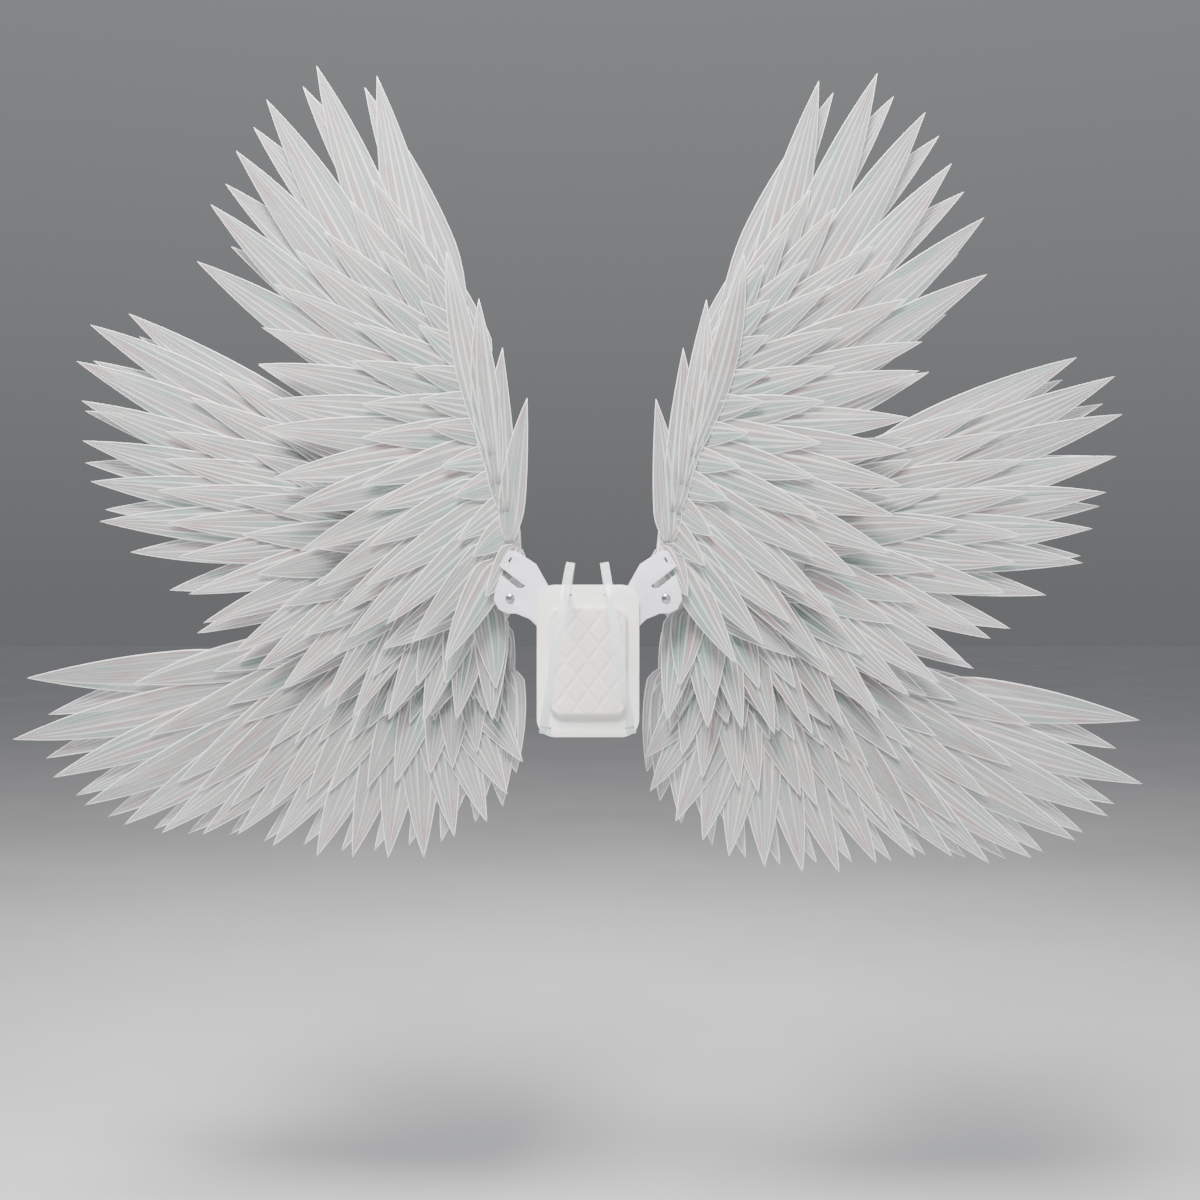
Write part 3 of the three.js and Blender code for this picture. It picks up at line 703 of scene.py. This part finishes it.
@dataclass
class Feather:
    """One heat-cut pleated feather, drawn from root to tip in a fan's own plane, in millimetres."""

    root: np.ndarray
    tip: np.ndarray
    width: float
    pleats: int = 5
    steps: int = 18  # along its length
    fold_depth: float = 1.7
    folds: Sequence[float] = ()  # each fold's depth, where 1 is the usual one
    thickness: float = 0.45
    hem_share: float = 0.05
    root_share: float = 0.4
    taper: float = 3.9  # how far before its tip it starts to narrow, in widths
    sharpness: float = 1.9
    point: float = 0.5  # how wide its very tip is
    longest_taper: float = 0.85  # the most of its length that narrows to the tip
    crowding: float = 1.15  # above 1, its cross-sections stand closer towards the tip
    narrowing: float = 0.6  # how its folds grow shallower as it narrows
    edge_fold: float = 0.3  # how far its outermost folds turn back
    bow: float = 0.0  # sideways curve, as a share of its length
    roll: float = 0.0  # radians about its own length
    lift: float = 0.0  # how far the tip leaves the row's plane
    cup: float = 0.0  # how far its edges leave its middle
    rise: float = 0.0  # how far it stands off the row's plane

    def outline(self, along: np.ndarray) -> np.ndarray:
        """Finds half its width along its length.

        Args:
            along: shares of its length, each from 0 to 1.

        Returns:
            Half its width at each, in millimetres.
        """
        length = float(np.hypot(*(self.tip - self.root)))
        widest_at = 1 - min(self.taper * self.width / length, self.longest_taper)
        opening = np.sin(np.clip(along / widest_at, 0, 1) * math.pi / 2)
        growing = self.root_share + (1 - self.root_share) * opening
        late = np.clip((along - widest_at) / (1 - widest_at), 0, 1)
        return self.width / 2 * np.minimum(growing, 1) * (1 - late**self.sharpness) + self.point / 2

    def shape(self) -> tuple[np.ndarray, list[tuple[int, ...]], dict[str, np.ndarray]]:
        """Builds the feather as a thin closed solid.

        Returns:
            Its points as x, y (depth) and z; its faces; and per point the shader's attributes.
        """
        along = 1 - (1 - np.linspace(0, 1, self.steps)) ** self.crowding
        folds = 2 * self.pleats + 1
        hem = 1 - self.hem_share
        across = np.concatenate([[-1.0], np.linspace(-hem, hem, folds), [1.0]])
        zigzag = np.concatenate([[0.0], np.where(np.arange(folds) % 2, 1.0, -1.0), [0.0]])
        if len(self.folds) == folds:
            zigzag[1:-1] *= self.folds
        zigzag[1] = zigzag[-2] = -self.edge_fold
        half = self.outline(along)
        chord = self.tip - self.root
        length = float(np.hypot(*chord))
        forward = chord / length
        sideways = np.array([-forward[1], forward[0]])
        curve = 4 * self.bow * length * along * (1 - along)
        slope = 4 * self.bow * (1 - 2 * along)
        middle = self.root + np.outer(along, chord) + np.outer(curve, sideways)
        ahead = forward + np.outer(slope, sideways)
        ahead /= np.linalg.norm(ahead, axis=1)[:, None]
        normal = np.column_stack([-ahead[:, 1], ahead[:, 0]])
        u, v = np.meshgrid(np.arange(len(along)), np.arange(len(across)), indexing="ij")
        reach = half[u] * across[v]
        plane = middle[u] + normal[u] * reach[..., None]
        fullness = half[u] / (self.width / 2)
        fold = self.fold_depth * fullness**self.narrowing * zigzag[v]
        leaning = math.tan(self.roll) * reach + self.lift * along[u] ** 2
        depth = self.rise + fold + leaning + self.cup * across[v] ** 2 * fullness
        rows, columns = depth.shape
        count = rows * columns
        front = np.stack([plane[..., 0], depth - self.thickness / 2, plane[..., 1]], axis=-1)
        front = front.reshape(-1, 3)
        back = front + np.array([0, self.thickness, 0])
        grid = np.arange(count).reshape(rows, columns)
        a, b, c, d = grid[:-1, :-1], grid[:-1, 1:], grid[1:, 1:], grid[1:, :-1]
        facing = np.stack([a, b, c, d], axis=-1).reshape(-1, 4)
        away = facing[:, ::-1] + count
        rim = np.concatenate([grid[0, :], grid[1:, -1], grid[-1, -2::-1], grid[-2:0:-1, 0]])
        following = np.roll(rim, -1)
        sides = np.stack([rim, rim + count, following + count, following], axis=-1)
        faces = np.vstack([facing, away, sides])
        from_edge = (half[u] * (1 - np.abs(across[v]))).reshape(-1)
        ridge = zigzag[v].reshape(-1) / 2
        facts = {
            "from_edge": np.tile(from_edge, 2),
            "fold": np.clip(np.concatenate([0.5 - ridge, 0.5 + ridge]), 0, 1),
            "u": np.tile(reach.reshape(-1) * MM, 2),
            "v": np.tile((along[u] * length).reshape(-1) * MM, 2),
        }
        return np.vstack([front, back]), faces, facts


@dataclass
class Row:
    """A row of feathers sewn side by side along their roots, round one side of a fan.

    Its lines run in the fan's plane from the hub bolt, x outwards and z up, in millimetres.
    """

    layer: str
    roots: Sequence[Point]
    tips: Sequence[Point]
    count: int
    width: float
    lift: float = 6.0
    roll: float = 3.6  # degrees, so that each feather laps the next
    bow: float = 0.003
    facing: Facing = Facing.WEARER
    stray: float = 8.0  # how far a tip may wander, in millimetres
    pleats: int = 5
    crispness: float = 1.0  # how sharply the pleats stand up
    gather: float = 1.0  # below 1, feathers stand closer towards the row's end
    tiers: Sequence[tuple[float, float]] = ((0.0, 1.0),)  # where each layer of feathers starts and ends
    seed: int = 1

    def feathers(self, rng: random.Random) -> Iterable[Feather]:
        """Cuts and places the row's feathers.

        Args:
            rng: the row's own random numbers.

        Yields:
            Each feather, layer by layer.
        """
        shares = np.linspace(0, 1, self.count) ** self.gather
        roots = spline(self.roots, shares)
        tips = spline(self.tips, shares)
        for layer, (start, end) in enumerate(self.tiers):
            for root, tip in zip(roots, tips):
                wander = np.array([rng.gauss(0, STRAY_SPREAD), rng.gauss(0, STRAY_SPREAD)]) * self.stray
                yield Feather(
                    root=root + start * (tip - root),
                    tip=root + end * (tip - root) + wander,
                    width=self.width * rng.uniform(0.92, 1.07) * (1 - LAYER_NARROWING * layer),
                    pleats=self.pleats,
                    folds=[self.crispness * rng.uniform(0.35, 1.35) for _ in range(2 * self.pleats + 1)],
                    bow=self.bow + rng.gauss(0, BOW_SPREAD),
                    roll=math.radians(self.facing.value * self.roll + rng.uniform(-0.9, 0.9)),
                    lift=self.facing.value * self.lift * rng.uniform(0.6, 1.35),
                    cup=-self.facing.value * rng.uniform(0.2, 1.4),
                    rise=self.facing.value * LAYER_RISE * layer,
                )


@dataclass
class Fan:
    """One fan of feather rows and the board that carries them, turning on the hub bolt."""

    which: str
    hang: dict[Side, float]  # degrees up from the drawing
    rows: Sequence[Row]

    def body(self, side: Side) -> str:
        """The CAD body the fan rides on."""
        return f"{side.word}_wing" if self.which == "upper" else f"{side.word}_{self.which}"

    def build(self, side: Side, hub: Vector, finishes: Finishes) -> None:
        """Builds the fan's pieces on one side.

        Args:
            side: the wearer's side.
            hub: a point on the hub bolt's axis.
            finishes: the wings' finishes.
        """
        turn = math.radians(self.hang[side])
        for row in self.rows:
            node = f"{side.word}_{self.which}_{row.layer}"
            low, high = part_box(node)
            piece = self.row_piece(node, row, side, turn, hub, (low.y + high.y) / 2 / MM, finishes)
            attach(piece, self.body(side))
            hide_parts(node)
            LOG.info("%s: %d feathers", piece.name, row.count)
        board = f"{side.word}_{self.which}_board"
        softened(board, f"{board}_cut", finishes.board, 0.6)
        LOG.info("%s", board)

    def row_piece(
        self, node: str, row: Row, side: Side, turn: float, hub: Vector, depth: float, finishes: Finishes
    ) -> bpy.types.Object:
        """Builds one row as a single mesh.

        Args:
            node: the CAD node it stands for.
            row: the row.
            side: the wearer's side.
            turn: the fan's angle up from the drawing, in radians.
            hub: a point on the hub bolt's axis.
            depth: the row's middle in y, in millimetres.
            finishes: the wings' finishes.

        Returns:
            The row's object.
        """
        rng = random.Random(f"{node}{row.seed}")
        points, faces, facts = [], [], {"from_edge": [], "fold": [], "u": [], "v": [], "tone": []}
        start = 0
        for feather in row.feathers(rng):
            shape, corners, found = feather.shape()
            points.append(shape)
            faces.append(corners + start)
            start += len(shape)
            found["tone"] = np.full(len(shape), rng.random())
            for name, values in found.items():
                facts[name].append(values)
        local = np.vstack(points)
        cos, sin = math.cos(turn), math.sin(turn)
        placed = np.column_stack([
            side.value * (local[:, 0] * cos - local[:, 2] * sin) * MM + hub.x,
            (local[:, 1] + depth) * MM,
            (local[:, 0] * sin + local[:, 2] * cos) * MM + hub.z,
        ])
        corners = np.vstack(faces)
        if side is Side.RIGHT:
            corners = corners[:, ::-1]
        finish = finishes.rear_feather if row.facing is Facing.BEHIND else finishes.feather
        piece = mesh_piece(f"{node}_pleated", placed, corners.tolist(), finish, smooth=True)
        for name in ("from_edge", "fold", "tone"):
            point_attribute(piece, name, np.concatenate(facts[name]))
        layer = piece.data.uv_layers.new(name="along_feather")
        loops = np.zeros(len(piece.data.loops), int)
        piece.data.loops.foreach_get("vertex_index", loops)
        u, v = np.concatenate(facts["u"]), np.concatenate(facts["v"])
        layer.data.foreach_set("uv", np.column_stack([u[loops], v[loops]]).reshape(-1).astype(np.float32))
        return piece


UPPER = Fan("upper", {Side.LEFT: -1, Side.RIGHT: 1}, [
    Row(
        "edge_feathers",
        [(4, 112), (6, 140), (24, 200), (45, 275)],
        [(-27, 385), (18, 469), (68, 568), (133, 664)],
        4, 54, lift=8, stray=5, pleats=4, bow=-0.02, crispness=0.7,
    ),
    Row(
        "short_coverts",
        [(108, 525), (60, 420), (30, 320), (6, 220), (-8, 130), (-12, 100)],
        [(175, 640), (196, 475), (178, 370), (142, 264), (112, 180), (80, 75), (50, 5)],
        11, 58, lift=9, pleats=4, stray=14,
    ),
    Row(
        "long_coverts",
        [(125, 530), (100, 420), (75, 320), (50, 220), (34, 120), (24, 70)],
        [(222, 720), (302, 590), (312, 470), (300, 350), (285, 225), (278, 90), (256, -34), (193, -91),
         (125, -125)],
        14, 68, lift=9, pleats=4, stray=16,
    ),
    Row(
        "secondaries",
        [(150, 560), (170, 500), (165, 410), (150, 310), (120, 200), (85, 120)],
        [(268, 805), (347, 735), (430, 650), (482, 540), (482, 425), (474, 310), (440, 170), (372, 10),
         (300, -95)],
        15, 80, lift=8, stray=18,
    ),
    Row(
        "primaries",
        [(162, 500), (186, 470), (190, 430), (184, 390), (172, 350)],
        [(278, 1008), (392, 1022), (497, 942), (560, 828), (603, 744), (612, 640)],
        6, 84, lift=6, stray=8, crispness=1.15,
    ),
    Row(
        "rear_feathers",
        [(62, 455), (36, 350), (12, 250), (-4, 160), (-6, 60)],
        [(306, 988), (440, 985), (522, 906), (574, 770), (558, 640), (500, 440), (480, 320),
         (435, 180), (350, 20), (260, -110)],
        12, 82, lift=3, roll=2.8, facing=Facing.BEHIND, tiers=((0.2, 1.0), (0.0, 0.5)),
    ),
])
MIDDLE = Fan("middle", {Side.LEFT: -3.2, Side.RIGHT: 3.2}, [
    Row(
        "short_coverts",
        [(250, 200), (280, 150), (280, 95), (245, 50), (190, 20), (120, 0), (50, -14)],
        [(470, 300), (540, 220), (545, 140), (505, 35), (430, -70), (330, -140), (230, -172),
         (120, -180), (30, -168)],
        12, 70, lift=5, pleats=4, stray=16, crispness=0.75,
    ),
    Row(
        "coverts",
        [(300, 250), (355, 200), (370, 130), (330, 60), (279, 30), (190, 10), (105, -4), (40, -20)],
        [(600, 410), (672, 345), (700, 250), (690, 140), (655, 28), (590, -90), (462, -191),
         (330, -240), (190, -250), (96, -250), (20, -235)],
        18, 74, lift=7, stray=14,
    ),
    Row(
        "primaries",
        [(345, 262), (376, 218), (376, 182), (345, 155), (300, 118)],
        [(783, 515), (867, 475), (877, 378), (858, 277), (849, 204), (823, 170), (815, 110)],
        7, 86, lift=5, stray=6, crispness=1.15,
    ),
    Row(
        "rear_feathers",
        [(246, 202), (196, 152), (140, 98), (92, 42), (46, -12)],
        [(758, 470), (838, 436), (866, 340), (856, 240), (830, 180), (790, 90), (700, 0), (600, -110),
         (450, -200), (300, -240), (150, -245), (40, -230)],
        14, 84, lift=3, roll=2.8, facing=Facing.BEHIND, tiers=((0.3, 1.0), (0.0, 0.55)),
    ),
])
LOWER = Fan("lower", {Side.LEFT: -2.5, Side.RIGHT: 2.5}, [
    Row(
        "coverts",
        [(440, -125), (410, -165), (330, -178), (250, -168), (175, -150), (110, -115), (66, -62)],
        [(735, -215), (712, -290), (655, -375), (575, -428), (450, -425), (315, -385), (225, -372),
         (150, -360), (80, -330), (15, -262)],
        14, 76, gather=0.85, lift=5, stray=16, crispness=0.5, tiers=((0.0, 1.0), (-0.24, 0.5)),
    ),
    Row(
        "primaries",
        [(502, -160), (468, -205), (398, -228), (310, -236), (235, -236), (170, -200), (110, -130)],
        [(944, -205), (970, -305), (915, -385), (813, -445), (700, -500), (560, -485), (430, -515),
         (310, -530), (190, -512), (80, -470), (0, -400), (-24, -320)],
        17, 84, gather=0.85, lift=6, stray=12, crispness=0.6,
    ),
    Row(
        "rear_feathers",
        [(62, -24), (76, -42), (80, -56), (68, -64), (48, -60), (32, -50)],
        [(915, -262), (925, -345), (860, -425), (750, -485), (600, -492), (480, -505), (350, -515),
         (230, -515), (110, -485), (20, -425), (-20, -345)],
        16, 84, gather=0.88, lift=4, facing=Facing.BEHIND, tiers=((0.3, 1.0), (0.0, 0.55)),
    ),
])


@dataclass
class Hub:
    """The hub bolt with its spacers, wing nut and lock tab."""

    head: float = 4.0  # the bolt's dome, in millimetres like the rest
    shank: float = 4.0  # its radius
    plain: float = 68.0  # from under the head to the thread
    lead_in: float = 2.0  # from the last thread to the bolt's end
    chamfer: float = 1.2
    chamfer_in: float = 1.1
    thread_pitch: float = 1.25
    thread_depth: float = 0.55

    def build(self, side: Side, finishes: Finishes) -> None:
        """Builds one side's hub hardware.

        Args:
            side: the wearer's side.
            finishes: the wings' finishes.
        """
        body = f"{side.word}_wing"
        for place in ("front", "middle", "rear"):
            node = f"{side.word}_hub_spacer_{place}"
            softened(node, f"{node}_turned", finishes.nylon, 0.5)
        self.bolt(side, body, finishes)
        for part, finish, slot in (
            ("wing_nut", finishes.steel, "steel"), ("lock_tab", finishes.lock, "lock"),
        ):
            node = f"{side.word}_{part}"
            softened(node, f"{node}_finished", finish, 0.5)
        LOG.info("%s hub", side.word)

    def bolt(self, side: Side, body: str, finishes: Finishes) -> None:
        """Turns the domed bolt with its thread at the nut's end.

        Args:
            side: the wearer's side.
            body: the body it rides on.
            finishes: the wings' finishes.
        """
        node = f"{side.word}_hub_bolt"
        low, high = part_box(node)
        centre = (low + high) / 2
        radius, front, end = (high.x - low.x) / 2 / MM, low.y / MM, high.y / MM
        under_head, shank = front + self.head, self.shank
        angles = np.linspace(0.02, math.pi / 2, 9)
        dome = [(radius * math.sin(a), under_head - self.head * math.cos(a)) for a in angles]
        threads = []
        y = under_head + self.plain
        while y < end - self.lead_in:
            threads += [(shank, y), (shank - self.thread_depth, y + self.thread_pitch / 2)]
            y += self.thread_pitch
        profile = [
            (0, front), *dome, (radius, under_head + 0.01), (shank, under_head + 0.01), *threads,
            (shank, end - self.chamfer), (shank - self.chamfer_in, end), (0, end),
        ]
        piece = spun(f"{node}_turned", profile, centre, finishes.steel)
        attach(piece, body)
        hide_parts(node)


@dataclass
class Harness:
    """Back plate, back pad, hinges, shoulder straps and their keepers."""

    quilt: float = 34.0  # between the pad's sewn channels, in millimetres
    quilt_depth: float = 1.6
    channel: float = 0.085  # half a channel's width, as a share of the quilt
    pad_corner: float = 26.0
    pad_columns: int = 61
    pad_rows: int = 85
    crown: float = 0.09  # how far in from its rim the pad reaches its full depth, as a share
    flat_rim: float = 0.12  # how far in from its rim the channels reach theirs

    def build(self, finishes: Finishes) -> None:
        """Builds the harness.

        Args:
            finishes: the wings' finishes.
        """
        softened("back_plate", "back_plate_cut", finishes.board, 1.0)
        self.pad(finishes)
        for side in Side:
            for part in ("hinge_leaf", "hinge_pin", "hinge_screw_upper", "hinge_screw_lower"):
                node = f"{side.word}_{part}"
                softened(node, f"{node}_finished", finishes.steel, 0.3, 2)
            node = f"{side.word}_arm"
            softened(node, f"{node}_coated", finishes.plate, 0.3, 2)
            for part in ("strap", "strap_keeper"):
                node = f"{side.word}_{part}"
                softened(node, f"{node}_clear", finishes.strap, 0.3, 2)
            LOG.info("%s side of the harness", side.word)

    def pad(self, finishes: Finishes) -> None:
        """Quilts the back pad: a crowned cover over foam, with sewn channels and a rounded edge.

        Args:
            finishes: the wings' finishes.
        """
        low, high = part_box("back_pad")
        centre, half = (low + high) / 2, (high - low) / 2
        columns, rows, corner = self.pad_columns, self.pad_rows, self.pad_corner * MM
        s, t = np.meshgrid(np.linspace(-1, 1, columns), np.linspace(-1, 1, rows), indexing="xy")
        # Squares the grid's corners into the pad's rounded ones.
        x, z = s * half.x, t * half.z
        over_x, over_z = np.abs(x) - (half.x - corner), np.abs(z) - (half.z - corner)
        inside = (over_x > 0) & (over_z > 0)
        reach = np.maximum(np.hypot(over_x, over_z), 1e-9)
        square = np.maximum(np.maximum(over_x, over_z), 1e-9)
        x = np.where(inside, np.sign(x) * (half.x - corner + over_x * square / reach), x)
        z = np.where(inside, np.sign(z) * (half.z - corner + over_z * square / reach), z)
        rim = np.minimum(1 - np.abs(s), 1 - np.abs(t))
        rounded = np.sqrt(np.clip(1 - (1 - np.clip(rim / self.crown, 0, 1)) ** 2, 0, 1))
        pitch = self.quilt * MM
        diagonal = [np.abs(((x * a + z * b) / pitch + 0.5) % 1 - 0.5) for a, b in ((0.8, 0.6), (0.8, -0.6))]
        channel = np.minimum(*diagonal)
        dip = self.quilt_depth * MM * np.exp(-((channel / self.channel) ** 2))
        dip *= np.clip(rim / self.flat_rim, 0, 1)
        front = centre.y - half.y * rounded + dip
        back = centre.y + half.y * rounded
        count = columns * rows
        vertices = np.vstack([np.stack([x, y, z], axis=-1).reshape(-1, 3) for y in (front, back)])
        grid = np.arange(count).reshape(rows, columns)
        facing = np.stack([grid[:-1, :-1], grid[:-1, 1:], grid[1:, 1:], grid[1:, :-1]], axis=-1)
        facing = facing.reshape(-1, 4)
        faces = [*facing.tolist(), *(facing[:, ::-1] + count).tolist()]
        piece = mesh_piece("back_pad_quilted", vertices, faces, finishes.cover, smooth=True)
        work = bmesh.new()
        work.from_mesh(piece.data)
        bmesh.ops.remove_doubles(work, verts=work.verts, dist=WELD)
        work.to_mesh(piece.data)
        work.free()
        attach(piece, "harness")
        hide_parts("back_pad")
        LOG.info("back pad")


# ---------------------------------------------------------------- studio


@dataclass
class Studio:
    """Plain pale floor, soft lights, and the camera in front of the wearer."""

    distance: float = 2.8
    aim: Point = (0.023, 0.117)
    lit: tuple[float, float, float] = (0.0, 0.0, 0.25)  # where every light points
    hub_depth: float = 0.06  # how far behind the origin the distance is measured from
    field_of_view: float = 45.4
    floor_below: float = 0.85  # under the lowest feather, as when the wings are worn
    floor_half: float = 40.0
    horizon: str = "#6C6D6F"
    overhead: str = "#A0A1A4"

    def build(self) -> None:
        """Sets the scene round the wings."""
        low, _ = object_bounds()
        self.floor(Vector(low).z - self.floor_below)
        self.lights()
        self.camera()
        self.room()

    def room(self) -> None:
        """Surrounds the scene with a soft grey room, brighter overhead."""
        world = bpy.data.worlds.new("soft_room")
        world.use_nodes = True
        tree = world.node_tree
        ahead = add_node(tree, "TexCoord").outputs["Generated"]
        upwards = add_node(tree, "SeparateXYZ", {"Vector": ahead}).outputs["Z"]
        colour = ramp(tree, upwards, [(0.0, self.horizon), (0.85, self.overhead)])
        tree.links.new(colour, tree.nodes["Background"].inputs["Color"])
        bpy.context.scene.world = world

    def floor(self, height: float) -> None:
        """Lays a pale matt floor.

        Args:
            height: its z.
        """
        material, tree, output = new_material("pale_matt_paint")
        place = add_node(tree, "TexCoord").outputs["Object"]
        cloud = noise(tree, place, 1.2, 6.0)
        colour = ramp(tree, cloud, [(0.3, "#B6B6B8"), (0.7, "#BEBEBF")])
        shader = add_node(tree, "BsdfPrincipled", {"Base Color": colour, "Roughness": 0.85})
        tree.links.new(shader.outputs["BSDF"], output.inputs["Surface"])
        half = self.floor_half
        corners = np.array([(x * half, y * half, height) for x, y in ((-1, -1), (1, -1), (1, 1), (-1, 1))])
        mesh_piece("studio_floor", corners, [(0, 1, 2, 3)], material)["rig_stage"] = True

    def lights(self) -> None:
        """Hangs a large key light, a fill, a top light, and one behind that shines through the feathers."""
        for name, place, energy, size, colour in (
            ("key", (-0.7, -2.3, 3.9), 860.0, 1.6, "#FFFDFA"),
            ("fill", (2.4, -3.4, 0.8), 40.0, 3.0, "#F4F7FF"),
            ("top", (0.0, 0.3, 4.2), 60.0, 2.4, "#FFFFFF"),
            ("through", (0.6, 3.0, 2.4), 110.0, 2.6, "#FBFDFF"),
        ):
            light = bpy.data.lights.new(name, "AREA")
            light.energy = energy
            light.size = size
            light.color = linear(colour)[:3]
            lamp = bpy.data.objects.new(name, light)
            lamp.location = place
            lamp.rotation_euler = (Vector(self.lit) - Vector(place)).to_track_quat("-Z", "Y").to_euler()
            bpy.context.scene.collection.objects.link(lamp)

    def camera(self) -> None:
        """Stands the camera in front of the wearer, level with the wings' middle."""
        data = bpy.data.cameras.new("camera")
        data.angle = math.radians(self.field_of_view)
        camera = bpy.data.objects.new("camera", data)
        camera.location = (self.aim[0], -self.distance + self.hub_depth, self.aim[1])
        camera.rotation_euler = (math.pi / 2, 0, 0)
        bpy.context.scene.collection.objects.link(camera)
        bpy.context.scene.camera = camera


def main() -> None:
    """Builds the studio, the harness and both wings."""
    logging.basicConfig(level=logging.INFO, format="%(message)s")
    cad_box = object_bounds()
    finishes = Finishes()
    Studio().build()
    Harness().build(finishes)
    for side in Side:
        low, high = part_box(f"{side.word}_hub_bolt")
        Hub().build(side, finishes)
        for fan in (UPPER, MIDDLE, LOWER):
            fan.build(side, (low + high) / 2, finishes)
    boxes = {"cad": cad_box, "visual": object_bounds()}
    {name: [list(corner) for corner in box] for name, box in boxes.items()}


if __name__ == "__main__":
    main()
